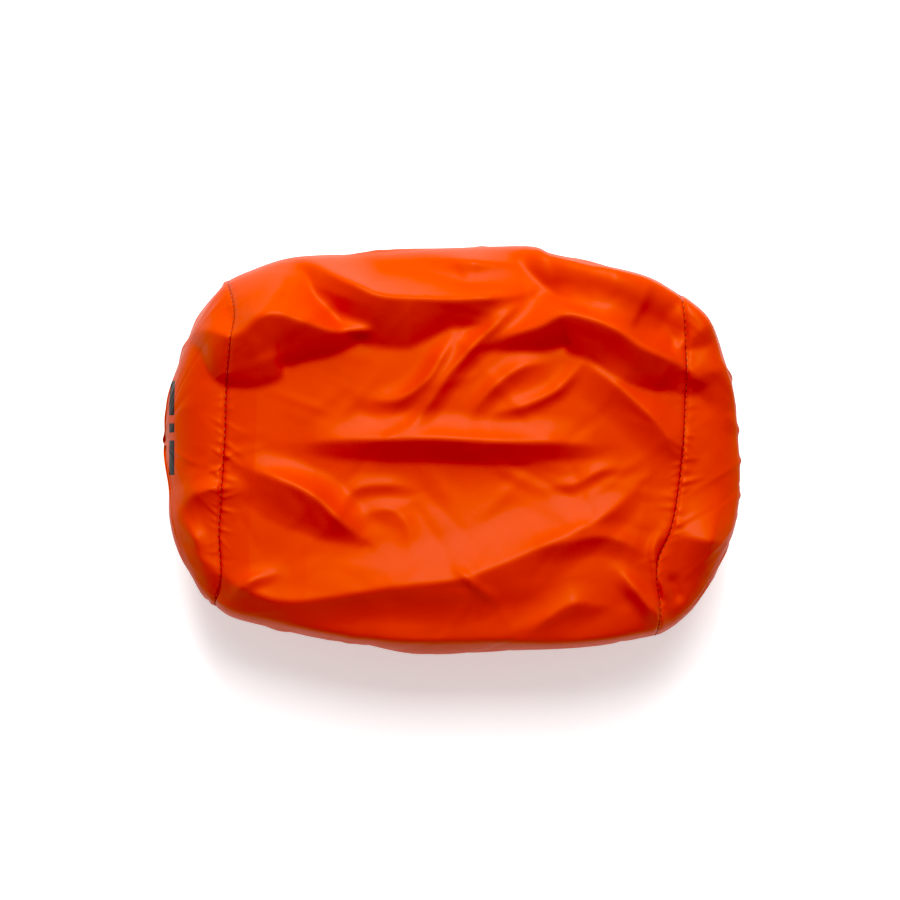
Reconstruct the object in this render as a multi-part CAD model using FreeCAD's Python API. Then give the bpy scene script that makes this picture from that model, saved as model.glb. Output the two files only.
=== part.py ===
"""Stuff sack: a hollow fabric sack lying on its broad side, cinched shut at its mouth end.

Frame: X along the sack towards the mouth, Y across, Z up; the sack rests on z = 0.
The sack is three sewn panels (a closed base, a body tube, a mouth end), seams with bound
allowances inside, a hem channel with a drawcord in it, and a push-button cord lock.
All sizes are in millimetres.
"""
import FreeCAD, Part
import math
import os

V = FreeCAD.Vector

# Overall sizes
HALF_LENGTH = 150.0       # from the middle of the sack to the end of either bulge
HALF_WIDTH = 106.75       # at the widest place
HEIGHT = 115.0            # at the highest place
WALL = 1.0                # thickness of the panels
FLAT_SINK = 2.0           # how far the round underside is pressed flat where it rests

# Seams between the panels
BASE_SEAM_X = -120.0      # base seam where it crosses y = 0
MOUTH_SEAM_X = 114.0      # mouth seam where it crosses y = 0
BASE_SEAM_LEAN = 0.041    # how far each seam runs off square, x per y
MOUTH_SEAM_LEAN = 0.060
ALLOWANCE = 8.0           # seam allowance turned into the sack
PLY = 0.8                 # thickness of one allowance
BINDING_WRAP = 4.0        # how far the binding tape reaches over the allowances
BINDING_TAPE = 0.5        # thickness of the binding tape
THREAD = 0.4              # thickness of a seam thread
THREAD_INSET = 1.5        # thread line from the panel
BODY_SEAM_Y = -20.0       # lengthwise seam along the underside
LABEL_SIZE = (25.0, 0.4, 20.0)

# Hem, drawcord and eyelet, round an axis along X in the mouth end
MOUTH_Y = -5.0
MOUTH_Z = 40.0
HEM_INSET = 33.0          # from the end of the mouth bulge to the back of the hem
HEM_DEPTH = 8.0
HEM_R = 16.0
MOUTH_R = 6.5             # hole left in the middle of the gathered hem
FUNNEL_FLARE = (28.0, 11.0)   # how much wider and higher than the hem the hollow's rim is
CORD_R = 1.3
CORD_RING_R = 10.5        # line of the cord inside the hem
CORD_BEND_R = 4.0
CORD_HALF_GAP = 1.5       # the two ends run side by side this far from the middle
CORD_CLEARANCE = 0.4
EYELET_HOLE_R = 3.2
EYELET_RIM = 1.0
EYELET_PROUD = 0.6
PATCH_R = 4.9
PATCH_THICKNESS = 0.4
KNOT_R = 3.0

# Cord lock: a barrel along Y with a sprung plunger, cord slot along X
LOCK_R = 6.0
LOCK_GAP = 2.5            # between the hem's face and the barrel
LOCK_FLOOR = 2.0
LOCK_BORE_R = 4.5
PLUNGER_CLEARANCE = 0.3
PLUNGER_TRAVEL = 3.5
PLUNGER_STOP_GAP = 0.5
POCKET_DEPTH = 4.0
POCKET_R = 3.3
POCKET_ROOF = 1.2         # material between the spring pocket and the cord slot
BUTTON_R = 5.4
BUTTON_THICKNESS = 2.5
BARREL_PAST_SLOT = 4.7    # barrel wall between the cord slot and the barrel's mouth
SLOT_HALF_HEIGHT = 1.6
GRIP_GAP = 0.05
SPRING_R = 2.6
SPRING_WIRE_R = 0.3
SPRING_TURNS = 5

HEM_BACK_X = HALF_LENGTH - HEM_INSET

# Body sections: share of the way between the seams, low and high y, low and high z
BODY_SECTIONS = (
    (0.00, -83.0, 88.0, 5.0, 95.0),
    (0.15, 12.25 - HALF_WIDTH, HALF_WIDTH - 7.25, 0.5 - FLAT_SINK, HEIGHT - 7.0),
    (0.34, 3.75 - HALF_WIDTH, HALF_WIDTH - 2.25, -FLAT_SINK, HEIGHT - 1.0),
    (0.52, -HALF_WIDTH, HALF_WIDTH, -FLAT_SINK, HEIGHT),
    (0.71, 1.25 - HALF_WIDTH, HALF_WIDTH - 1.75, -FLAT_SINK, HEIGHT - 1.0),
    (0.88, 5.75 - HALF_WIDTH, HALF_WIDTH - 10.25, 0.5 - FLAT_SINK, HEIGHT - 7.0),
    (1.00, -94.0, 82.5, 5.0, 96.0),
)
END_STEPS = (0.0, 0.22, 0.45, 0.66, 0.82, 0.92, 0.97)   # shares of an end bulge's depth
ROUNDNESS = 2.4           # exponent of the sections: 2 is an ellipse, more is boxier
SECTION_POINTS = 28
EPS = 0.01


def power(value, exponent):
    return math.copysign(abs(value) ** exponent, value)


def section(x, lean, y_range, z_range, inset=0.0):
    """A closed rounded section in a plane that runs off square by lean."""
    y_mid, z_mid = sum(y_range) / 2, sum(z_range) / 2
    half_y = (y_range[1] - y_range[0]) / 2 - inset
    half_z = (z_range[1] - z_range[0]) / 2 - inset
    points = []
    for i in range(SECTION_POINTS):
        turn = 2 * math.pi * i / SECTION_POINTS
        y = y_mid + half_y * power(math.cos(turn), 2 / ROUNDNESS)
        z = z_mid + half_z * power(math.sin(turn), 2 / ROUNDNESS)
        points.append(V(x + lean * y, y, z))
    curve = Part.BSplineCurve()
    curve.interpolate(Points=points, PeriodicFlag=True)
    return Part.Wire(curve.toShape())


def above(shape, z):
    """The part of a shape that lies above a level."""
    keep = Part.makeBox(800, 800, 400, V(-400, -400, z))
    return shape.common(keep)


def body_solid(inset):
    wires = []
    for share, y_lo, y_hi, z_lo, z_hi in BODY_SECTIONS:
        x = BASE_SEAM_X + share * (MOUTH_SEAM_X - BASE_SEAM_X)
        lean = BASE_SEAM_LEAN + share * (MOUTH_SEAM_LEAN - BASE_SEAM_LEAN)
        wires.append(section(x, lean, (y_lo, y_hi), (z_lo, z_hi), inset))
    return above(Part.makeLoft(wires, True, False), inset)


def end_solid(seam_x, lean, seam_section, side, fullness_z, inset):
    """A bulging end, from its seam out to the end of the sack on one side (-1 or 1)."""
    _, y_lo, y_hi, z_lo, z_hi = seam_section
    y_mid, z_mid = (y_lo + y_hi) / 2, (z_lo + z_hi) / 2
    depth = (HALF_LENGTH - side * seam_x) / END_STEPS[-1]
    deepest = HALF_LENGTH - side * seam_x
    wires = []
    for step in END_STEPS:
        left = 1 - step * step
        half_y = (y_hi - y_lo) / 2 * left ** 0.62
        half_z = (z_hi - z_lo) / 2 * left ** fullness_z
        out = depth * step * (deepest - inset) / deepest
        x = seam_x + side * out
        y_span = (y_mid - half_y, y_mid + half_y)
        z_span = (z_mid - half_z, z_mid + half_z)
        wires.append(section(x, lean * (1 - step), y_span, z_span, inset))
    return Part.makeLoft(wires, True, False)


def base_solid(inset):
    return end_solid(BASE_SEAM_X, BASE_SEAM_LEAN, BODY_SECTIONS[0], -1, 0.5, inset)


def mouth_solid(inset):
    return end_solid(MOUTH_SEAM_X, MOUTH_SEAM_LEAN, BODY_SECTIONS[-1], 1, 0.38, inset)


def seam_prism(seam_x, lean, seam_section, inset, from_x, to_x):
    """The seam's own section, inset, between two distances along X from the seam."""
    _, y_lo, y_hi, z_lo, z_hi = seam_section
    wire = section(seam_x + from_x, lean, (y_lo, y_hi), (z_lo, z_hi), inset)
    return Part.Face(wire).extrude(V(to_x - from_x, 0, 0))


def seam_ring(seam, outer_inset, inner_inset, from_x, to_x):
    outer = seam_prism(*seam, outer_inset, from_x, to_x)
    inner = seam_prism(*seam, inner_inset, from_x - 1, to_x + 1)
    return outer.cut(inner)


BASE_SEAM = (BASE_SEAM_X, BASE_SEAM_LEAN, BODY_SECTIONS[0])
MOUTH_SEAM = (MOUTH_SEAM_X, MOUTH_SEAM_LEAN, BODY_SECTIONS[-1])


def allowance(seam, side):
    """One turned-in seam allowance on one side of a seam."""
    near, far = sorted((0.0, side * PLY))
    return seam_ring(seam, WALL / 2, WALL + ALLOWANCE, near, far)


def seam_binding(seam):
    reach = WALL + ALLOWANCE
    half = PLY + BINDING_TAPE
    tape = seam_ring(seam, reach - BINDING_WRAP, reach + BINDING_TAPE, -half, half)
    plies = seam_ring(seam, WALL / 2, reach, -PLY, PLY)
    return tape.cut(plies)


def seam_thread(seam):
    """The needle thread and the bobbin thread, one on each side of the two plies."""
    near, far = WALL + THREAD_INSET, WALL + THREAD_INSET + THREAD
    needle = seam_ring(seam, near, far, PLY, PLY + THREAD)
    bobbin = seam_ring(seam, near, far, -PLY - THREAD, -PLY)
    return Part.makeCompound([needle, bobbin])


def floor_strip(inner, x_range, y_range, low, high):
    """A strip that stands on the inside of the underside, between two heights above it."""
    size = (x_range[1] - x_range[0], y_range[1] - y_range[0], 60.0)
    plate = Part.makeBox(*size, V(x_range[0], y_range[0], -10.0))
    lower = inner.translated(V(0, 0, low))
    upper = inner.translated(V(0, 0, high))
    return plate.common(lower).cut(upper)


def body_seam_range():
    """The lengthwise seam stops short of the bindings of the two round seams."""
    margin = PLY + BINDING_TAPE + 0.5
    base_x = BASE_SEAM_X + BASE_SEAM_LEAN * BODY_SEAM_Y
    mouth_x = MOUTH_SEAM_X + MOUTH_SEAM_LEAN * BODY_SEAM_Y
    return base_x + margin, mouth_x - margin


def body_plies(inner, low):
    span = (BODY_SEAM_Y - PLY, BODY_SEAM_Y + PLY)
    return floor_strip(inner, body_seam_range(), span, low, ALLOWANCE)


def body_panel():
    inner = body_solid(WALL)
    shell = body_solid(0.0).cut(inner)
    fins = [allowance(BASE_SEAM, 1), allowance(MOUTH_SEAM, -1), body_plies(inner, -WALL / 2)]
    return shell.fuse(fins).removeSplitter()


def body_seam_binding():
    inner = body_solid(WALL)
    half = PLY + BINDING_TAPE
    span = (BODY_SEAM_Y - half, BODY_SEAM_Y + half)
    low, high = ALLOWANCE - BINDING_WRAP, ALLOWANCE + BINDING_TAPE
    tape = floor_strip(inner, body_seam_range(), span, low, high)
    return tape.cut(body_plies(inner, 0.0))


def body_seam_thread():
    inner = body_solid(WALL)
    lines = []
    for side in (-1, 1):
        span = sorted((BODY_SEAM_Y + side * PLY, BODY_SEAM_Y + side * (PLY + THREAD)))
        low, high = THREAD_INSET, THREAD_INSET + THREAD
        lines.append(floor_strip(inner, body_seam_range(), span, low, high))
    return Part.makeCompound(lines)


def care_label():
    """A blank label caught in the lengthwise seam, lying against its binding."""
    length, thickness, height = LABEL_SIZE
    start = BODY_SEAM_Y + PLY + BINDING_TAPE
    x_range = (40.0, 40.0 + length)
    return floor_strip(body_solid(WALL), x_range, (start, start + thickness), 0.0, height)


def base_panel():
    shell = base_solid(0.0).cut(base_solid(WALL))
    return shell.fuse(allowance(BASE_SEAM, -1)).removeSplitter()


def ellipse_wire(x, half_y, half_z):
    centre = V(x, MOUTH_Y, MOUTH_Z)
    if half_y == half_z:
        return Part.Wire(Part.Circle(centre, V(1, 0, 0), half_y).toShape())
    curve = Part.Ellipse(centre + V(0, half_y, 0), centre + V(0, 0, half_z), centre)
    return Part.Wire(curve.toShape())


def funnel(grow):
    """The hollow that the cinched mouth sits in; grow makes it larger all round."""
    back = HEM_BACK_X - grow
    wires = [
        ellipse_wire(back, HEM_R + grow, HEM_R + grow - EPS),
        ellipse_wire(HALF_LENGTH + 2, HEM_R + FUNNEL_FLARE[0] + grow, HEM_R + FUNNEL_FLARE[1] + grow),
    ]
    return Part.makeLoft(wires, True, True)


def mouth_cylinder(radius, from_x, to_x, y=MOUTH_Y, z=MOUTH_Z):
    return Part.makeCylinder(radius, to_x - from_x, V(from_x, y, z), V(1, 0, 0))


def mouth_panel():
    outside = mouth_solid(0.0).cut(funnel(0.0))
    inside = mouth_solid(WALL).cut(funnel(WALL))
    shell = outside.cut(inside)
    shell = shell.fuse(allowance(MOUTH_SEAM, 1))
    hole = mouth_cylinder(MOUTH_R, HEM_BACK_X - 5, HEM_BACK_X + 5)
    return shell.cut(hole).removeSplitter()


# The drawcord's line: once round the hem, both ends out through the eyelet side by side
CORD_PLANE_X = HEM_BACK_X + HEM_DEPTH / 2
HEM_FRONT_X = HEM_BACK_X + HEM_DEPTH
LOCK_X = HEM_FRONT_X + LOCK_GAP + LOCK_R
KNOT_X = LOCK_X + LOCK_R + 0.4 + KNOT_R


def exit_angle():
    """How far from the lowest point the cord leaves its ring, so that both ends meet."""
    low, high = 0.0, math.pi / 2
    for _ in range(60):
        angle = (low + high) / 2
        gap = CORD_RING_R * math.sin(angle) - CORD_BEND_R * math.cos(angle)
        if gap < CORD_HALF_GAP:
            low = angle
        else:
            high = angle
    return angle


EXIT = exit_angle()
EXIT_Z = MOUTH_Z - CORD_RING_R * math.cos(EXIT) - CORD_BEND_R * math.sin(EXIT)


def ring_point(turn):
    y = MOUTH_Y + CORD_RING_R * math.cos(turn)
    z = MOUTH_Z + CORD_RING_R * math.sin(turn)
    return V(CORD_PLANE_X, y, z)


def cord_tube(radius, end_x):
    start = -math.pi / 2 + EXIT
    finish = 3 * math.pi / 2 - EXIT
    middle_turn = math.pi / 2
    tangent = V(0, math.cos(EXIT), math.sin(EXIT))
    first = ring_point(start)
    bend_centre = first + V(CORD_BEND_R, 0, 0)
    bend_start = bend_centre - tangent * CORD_BEND_R
    bend_mid = bend_centre - (tangent + V(1, 0, 0)) * (CORD_BEND_R / math.sqrt(2))
    mirror = lambda p: V(p.x, 2 * MOUTH_Y - p.y, p.z)
    end_point = V(end_x, bend_start.y, bend_start.z)
    edges = [
        Part.LineSegment(end_point, bend_start).toShape(),
        Part.Arc(bend_start, bend_mid, first).toShape(),
        Part.Arc(first, ring_point(middle_turn), ring_point(finish)).toShape(),
        Part.Arc(mirror(first), mirror(bend_mid), mirror(bend_start)).toShape(),
        Part.LineSegment(mirror(bend_start), mirror(end_point)).toShape(),
    ]
    path = Part.Wire(edges)
    circle = Part.Wire(Part.Circle(end_point, V(1, 0, 0), radius).toShape())
    tube = path.makePipeShell([circle], True, False)
    print("cord bend radii", CORD_BEND_R, CORD_RING_R, "length", round(path.Length, 1))
    print("tube volume", round(tube.Volume, 1), "expected",
          round(math.pi * radius ** 2 * path.Length, 1))
    return tube


def drawcord():
    tube = cord_tube(CORD_R, KNOT_X)
    knot = Part.makeSphere(KNOT_R, V(KNOT_X, MOUTH_Y, EXIT_Z))
    return tube.fuse(knot).removeSplitter()


def hem_channel():
    ring = mouth_cylinder(HEM_R, HEM_BACK_X, HEM_FRONT_X)
    ring = ring.cut(mouth_cylinder(MOUTH_R, HEM_BACK_X - 1, HEM_FRONT_X + 1))
    ring = ring.cut(cord_tube(CORD_R + CORD_CLEARANCE, HEM_FRONT_X + 2))
    hole = mouth_cylinder(EYELET_HOLE_R, CORD_PLANE_X, HEM_FRONT_X + 1, z=EXIT_Z)
    return ring.cut(hole)


def hem_thread():
    """The line of stitching that closes the channel, lying on the hem's rim."""
    x_mid = HEM_BACK_X + 1.2
    outer = mouth_cylinder(HEM_R + THREAD, x_mid, x_mid + THREAD)
    inner = mouth_cylinder(HEM_R, x_mid - 1, x_mid + 1)
    return outer.cut(inner)


def on_hem(radius, thickness, from_x):
    """A washer on the hem's face round the cord's exit."""
    disc = mouth_cylinder(radius, from_x, from_x + thickness, z=EXIT_Z)
    return disc.cut(mouth_cylinder(EYELET_HOLE_R, from_x - 1, from_x + thickness + 1, z=EXIT_Z))


def eyelet_patch():
    return on_hem(PATCH_R, PATCH_THICKNESS, HEM_FRONT_X)


def cord_eyelet():
    """A pressed ring on the patch with a rounded rim."""
    ring = on_hem(EYELET_HOLE_R + EYELET_RIM, EYELET_PROUD, HEM_FRONT_X + PATCH_THICKNESS)
    top = HEM_FRONT_X + PATCH_THICKNESS + EYELET_PROUD
    rims = [e for e in ring.Edges if abs(e.CenterOfMass.x - top) < EPS and e.Closed]
    return ring.makeFillet(EYELET_PROUD * 0.35, rims)


# Distances along the lock, from the closed end of the barrel
CORD_HALF_SPAN = CORD_HALF_GAP + CORD_R + GRIP_GAP
PLUNGER_BOTTOM = LOCK_FLOOR + PLUNGER_TRAVEL + PLUNGER_STOP_GAP
POCKET_TOP = PLUNGER_BOTTOM + POCKET_DEPTH
CORD_V = POCKET_TOP + POCKET_ROOF + CORD_HALF_SPAN
BARREL_TOP = CORD_V + CORD_HALF_SPAN + BARREL_PAST_SLOT
SHAFT_TOP = BARREL_TOP + PLUNGER_TRAVEL + PLUNGER_STOP_GAP
LOCK_Y = MOUTH_Y - CORD_V


def lock_cylinder(radius, from_v, to_v):
    base = V(LOCK_X, LOCK_Y + from_v, EXIT_Z)
    return Part.makeCylinder(radius, to_v - from_v, base, V(0, 1, 0))


def cord_slot(from_v, to_v):
    """A slot through the lock along the cords, with rounded top and bottom edges."""
    length = 2 * LOCK_R + 4
    corner = V(LOCK_X - length / 2, LOCK_Y + from_v, EXIT_Z - SLOT_HALF_HEIGHT)
    slot = Part.makeBox(length, to_v - from_v, 2 * SLOT_HALF_HEIGHT, corner)
    along = [e for e in slot.Edges if abs(e.Length - length) < EPS]
    return slot.makeFillet(SLOT_HALF_HEIGHT * 0.6, along)


def lock_barrel():
    barrel = lock_cylinder(LOCK_R, 0, BARREL_TOP)
    barrel = barrel.makeFillet(1.2, [e for e in barrel.Edges if e.Closed])
    barrel = barrel.cut(lock_cylinder(LOCK_BORE_R, LOCK_FLOOR, BARREL_TOP + 1))
    return barrel.cut(cord_slot(CORD_V - CORD_HALF_SPAN - PLUNGER_TRAVEL, CORD_V + CORD_HALF_SPAN))


def lock_plunger():
    shaft = lock_cylinder(LOCK_BORE_R - PLUNGER_CLEARANCE, PLUNGER_BOTTOM, SHAFT_TOP + EPS)
    button = lock_cylinder(BUTTON_R, SHAFT_TOP, SHAFT_TOP + BUTTON_THICKNESS)
    button = button.makeFillet(1.0, [e for e in button.Edges if e.Closed])
    plunger = shaft.fuse(button)
    plunger = plunger.cut(lock_cylinder(POCKET_R, PLUNGER_BOTTOM - 1, POCKET_TOP))
    slot = cord_slot(CORD_V - CORD_HALF_SPAN, CORD_V + CORD_HALF_SPAN + PLUNGER_TRAVEL)
    return plunger.cut(slot).removeSplitter()


def lock_spring():
    """A coil between the barrel's floor and the roof of the plunger's pocket."""
    height = POCKET_TOP - LOCK_FLOOR - 2 * SPRING_WIRE_R
    helix = Part.makeHelix(height / SPRING_TURNS, height, SPRING_R)
    start = V(SPRING_R, 0, 0)
    circle = Part.Wire(Part.Circle(start, V(0, 1, 0), SPRING_WIRE_R).toShape())
    coil = Part.Wire(helix.Edges).makePipeShell([circle], True, True)
    coil.rotate(V(0, 0, 0), V(1, 0, 0), -90)
    coil.translate(V(LOCK_X, LOCK_Y + LOCK_FLOOR + SPRING_WIRE_R, EXIT_Z))
    return coil


SUBPARTS = {
    "body_panel": body_panel,
    "base_panel": base_panel,
    "mouth_panel": mouth_panel,
    "body_seam_binding": body_seam_binding,
    "base_seam_binding": lambda: seam_binding(BASE_SEAM),
    "mouth_seam_binding": lambda: seam_binding(MOUTH_SEAM),
    "body_seam_thread": body_seam_thread,
    "base_seam_thread": lambda: seam_thread(BASE_SEAM),
    "mouth_seam_thread": lambda: seam_thread(MOUTH_SEAM),
    "care_label": care_label,
    "hem_channel": hem_channel,
    "hem_thread": hem_thread,
    "eyelet_patch": eyelet_patch,
    "cord_eyelet": cord_eyelet,
    "drawcord": drawcord,
    "lock_barrel": lock_barrel,
    "lock_plunger": lock_plunger,
    "lock_spring": lock_spring,
}


def main():
    os.makedirs("parts", exist_ok=True)
    for name, build in SUBPARTS.items():
        shape = build()
        if not shape.isValid():
            raise ValueError(name + " is not a valid shape")
        box = shape.BoundBox
        print(name, len(shape.Solids), round(shape.Volume, 1),
              [round(v, 2) for v in (box.XMin, box.XMax, box.YMin, box.YMax, box.ZMin, box.ZMax)])
        shape.exportStep("parts/" + name + ".step")
    print("cord exit z", round(EXIT_Z, 2), "lock y", round(LOCK_Y, 2), "lock x", LOCK_X)


main()
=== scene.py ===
"""Stuff sack: coated nylon panels with their folds, seams and gathered mouth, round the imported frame.

Run as a script, it builds every piece through its operators. The frame is in metres; the plan,
the folds and the seams are written in millimetres, seen from above, and scaled at the end.
"""

import math

import bpy
import numpy as np
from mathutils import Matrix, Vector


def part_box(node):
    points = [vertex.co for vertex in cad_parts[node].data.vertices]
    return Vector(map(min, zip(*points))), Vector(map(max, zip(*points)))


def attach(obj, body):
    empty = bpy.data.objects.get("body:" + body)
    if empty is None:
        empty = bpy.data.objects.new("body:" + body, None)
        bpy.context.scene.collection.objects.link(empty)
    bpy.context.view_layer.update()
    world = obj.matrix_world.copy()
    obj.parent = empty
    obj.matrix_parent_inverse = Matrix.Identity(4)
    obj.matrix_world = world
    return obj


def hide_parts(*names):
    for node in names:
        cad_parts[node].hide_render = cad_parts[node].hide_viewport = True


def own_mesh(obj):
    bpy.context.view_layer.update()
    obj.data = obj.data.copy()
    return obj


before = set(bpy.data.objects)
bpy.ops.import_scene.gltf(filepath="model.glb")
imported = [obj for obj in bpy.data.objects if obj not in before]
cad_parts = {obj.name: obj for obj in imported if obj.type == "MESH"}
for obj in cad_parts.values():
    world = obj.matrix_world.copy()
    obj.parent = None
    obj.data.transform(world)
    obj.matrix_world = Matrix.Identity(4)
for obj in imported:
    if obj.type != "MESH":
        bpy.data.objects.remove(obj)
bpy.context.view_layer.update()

bl_info = {
    "name": "Stuff sack",
    "version": (1, 0, 0),
    "blender": (4, 5, 0),
    "location": "View3D > Sidebar > Stuff sack",
    "description": "Builds a folded nylon stuff sack round its frame",
    "category": "Add Mesh",
}

MM = 0.001
SEED = 11

# ---------------------------------------------------------------- plan of the sack, in mm
# Each curve has only the points that its bends need.
BASE_SEAM = ((-96, -124), (-81, -122.4), (-66, -118), (-44, -118.8), (-28, -117.7), (-10, -116.7),
             (10, -115.6), (31, -115), (52, -112.5), (67, -110.6), (76, -111.5), (89, -116), (100, -119))
MOUTH_SEAM = ((-110, 106), (-96, 106.8), (-85, 108), (-75, 107.5), (-65, 106), (-55, 107), (-44, 112),
              (-32, 115.4), (-15, 118), (6, 120), (31, 120.9), (60, 120.3), (81, 118.6), (95, 117))
FAR_EDGE = ((-116, 88.6), (-105, 93), (-81, 100.4), (-52, 102.6), (-10, 105.2), (40.5, 106.7),
            (55, 102.3), (74, 97), (101.5, 90.4), (118.8, 81))
NEAR_EDGE = ((-122.4, -81.4), (-109.7, -88.4), (-73.5, -96.2), (-39.8, -102.5), (-12.4, -106.7),
             (31.9, -104.8), (74, -102.5), (106.5, -96.8))
BASE_EDGE = ((-81.4, -122.4), (-73, -130.4), (-53, -142), (-36, -146.8), (-20, -147.3), (-2, -149.3),
             (21, -148.6), (42, -143), (60.5, -135.7), (76.7, -126), (88.6, -116))
MOUTH_EDGE = ((-96.8, 106.5), (-89, 120.5), (-83.5, 126.8), (-67.7, 137.3), (-48.7, 145.8), (-36, 149),
              (-19, 150.4), (-2, 149.8), (25, 147.4), (42, 143.6), (56.7, 137.3), (70.4, 130), (81, 118.8))
# Along the body, from the base seam to the mouth seam: share, height of the crown, of the underside
CROWN = ((0.0, 92.0), (0.07, 96.0), (0.2, 98.5), (0.5, 99.5), (0.8, 98.5), (0.93, 96.0), (1.0, 93.0))
UNDERSIDE = ((0.0, 5.0), (0.1, 1.6), (0.25, 0.4), (0.5, 0.3), (0.75, 0.4), (0.9, 1.6), (1.0, 5.0))
WAIST_Z = 52.0            # height of the widest line round the sack
BOXY_FAR = 4.0            # exponents of a section's quarters: 2 is an ellipse, more is boxier
BOXY_NEAR = 4.4
BOXY_LOW = 2.9
BASE_DEPTH = 31.0
MOUTH_DEPTH = 34.0

# ---------------------------------------------------------------- folds seen from above, in mm
# (points, heights at the points, width of the steep side, width of the gentle side, sharpness)
# The steep side lies to the right of the way the points go. A negative height is a valley.
FOLDS = (
    # far left lobe drops into the hollow
    (((-137, 62), (-124, 61), (-112, 58), (-105, 60), (-97, 67), (-86, 69), (-73, 65), (-59, 61), (-43, 61)),
     (1, 7, 12, 14, 15, 14, 12, 9, 3), (2, 14, 26, 30, 33, 31, 23, 13, 4),
     (26, 26, 26, 28, 30, 28, 20, 11, 4), 0.85),
    # the back of the middle falls to the left lobe
    (((-82, 102), (-68, 95), (-58, 89), (-47, 84), (-36, 79), (-20, 77.5), (0, 77), (20, 77.5), (39, 80)),
     (1, 6, 11, 15, 16, 14, 11, 9, 2), (3, 9, 16, 22, 26, 26, 15, 14, 5), 15, 1.0),
    # upper middle ledge
    (((-12, 100), (12, 97), (42, 94)),
     (0.5, 6.5, 0.5), 13, 10, 1.1),
    # far right lobe
    (((42, 108), (62, 101), (85, 95), (105, 90), (120, 79)),
     (9, 18, 23, 20, 11), (14, 24, 30, 33, 28), 11, 1.0),
    # right ledge
    (((18, 53), (32, 59), (45, 63), (57, 69), (70, 67), (85, 61), (98, 52), (112, 46), (122, 40)),
     (1, 6, 10, 13, 14, 14, 13, 10, 5), (3, 9, 13, 18, 20, 20, 20, 18, 12), 17, 0.85),
    # slanting ridge
    (((-19, 13), (-10, 25), (-1, 38), (12, 53), (28, 68), (41, 76)),
     (1, 3.5, 4.5, 4.5, 4, 1), 8, 10, 1.5),
    # slanting ridge beside it
    (((-40, 25), (-26, 26), (-13, 35), (-5, 47), (3, 60)),
     (0.5, 3, 4.5, 4, 0.5), 8, 9, 1.5),
    # short slanting ridge
    (((9, 16), (21, 31), (36, 42), (51, 45)),
     (0.5, 3, 3, 0.5), 8, 9, 1.6),
    # short ridge below it
    (((21, 18), (39, 23), (55, 31), (67, 44)),
     (0.5, 2.6, 3, 0.8), 6, 8, 1.6),
    # middle ridge
    (((-75, 3), (-57, 5), (-31, 5.5), (-10, 6), (11, 5), (32, 4), (53, 4), (75, 2)),
     (0.5, 3.6, 6, 7, 7, 6, 4.2, 0.5), (6, 10, 12, 12.5, 12.5, 12, 10, 6), 15, 1.0),
    # broad right ridge
    (((69, 45), (85, 33), (101, 19), (112, 6), (117, -6)),
     (2, 5, 6, 5, 1), 17, 13, 1.6),
    # near swell
    (((-121, -62), (-103, -72), (-84, -77), (-61, -75), (-31, -70), (2, -66), (28, -57), (53, -46),
      (78, -34), (94, -21)),
     (2, 4.5, 5.5, 5.5, 5.5, 5.5, 5.5, 5, 4.5, 1), (10, 12, 14, 15, 18, 24, 24, 18, 12, 8), 24, 1.5),
    # near crest
    (((-121, -80), (-95, -87), (-73, -92), (-50, -96), (-23, -98), (3, -98), (30, -98), (53, -99),
      (80, -97), (106, -93)),
     (1, 4, 7, 7, 7, 6, 7, 8, 8, 4), 9, 22, 1.3),
    # left diagonal
    (((-104, -9), (-86, -15), (-69, -23), (-57, -34), (-46, -44)),
     (2, 7, 9, 8, 2), (16, 22, 22, 16, 6), 13, 1.2),
    # small arc
    (((-57, -31), (-48, -20), (-31, -18), (-18, -20)),
     (0.3, 1.5, 1.5, 0.3), 6, 8, 1.5),
    # second small arc
    (((-47, -33), (-33, -30), (-23, -36), (-19, -50)),
     (0.3, 1.3, 1.5, 0.3), 9, 8, 1.6),
    # near nick
    (((3, -60), (12, -68), (23, -77)),
     (0.5, 2.2, 0.5), 4, 5, 1.4),
    # near right lobe
    (((37, -97), (50, -85), (64, -78), (80, -80)),
     (0.5, 3.5, 4, 1), 16, 12, 1.6),
    # corner ridge
    (((87, -62), (95, -71), (104, -82), (109, -91)),
     (1, 5, 6, 2), 8, 7, 1.3),
    # right small ledge
    (((42, -50), (58, -47), (74, -44), (87, -46), (99, -53)),
     (0.4, 2.4, 3, 3, 0.8), 10, 10, 1.3),
    # right smaller ledge
    (((50, -19), (64, -17), (76, -11), (87, -9)),
     (0.4, 2, 2, 0.4), 6, 8, 1.6),
    # left corner fold
    (((-113, -78), (-103, -67), (-88, -63)),
     (0.5, 3.6, 0.6), 6, 7, 1.3),
    # base end dip
    (((-141, -32), (-130, -22), (-115, -19)),
     (1, 4.5, 2.5), 14, 12, 1.4),
    # base end fold
    (((-138, -34), (-131, -45), (-126, -62)),
     (1, 3.2, 0.6), 8, 8, 1.5),
    # mouth end rim
    (((119, 79), (134, 65), (144, 43), (149, 21)),
     (4, 12, 12, 3), (16, 26, 26, 14), 8, 1.0),
    # mouth end tuck
    (((119, -44), (134, -47), (148, -50)),
     (3, 8, 4), 22, 30, 1.2),
    # mouth corner pit
    (((115, -68), (117, -75)),
     (-2.5, -2.5), 6, 6, 1.4),
    # mouth seam pinch
    (((109, -41), (104, -51), (106, -63), (111, -75)),
     (0.6, 2.6, 2.6, 0.6), 4, 4, 1.4),
    # far left crease
    (((-93, 69), (-87, 81), (-83, 94)),
     (0.4, 2.2, 0.4), 5, 8, 1.4),
)
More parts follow.
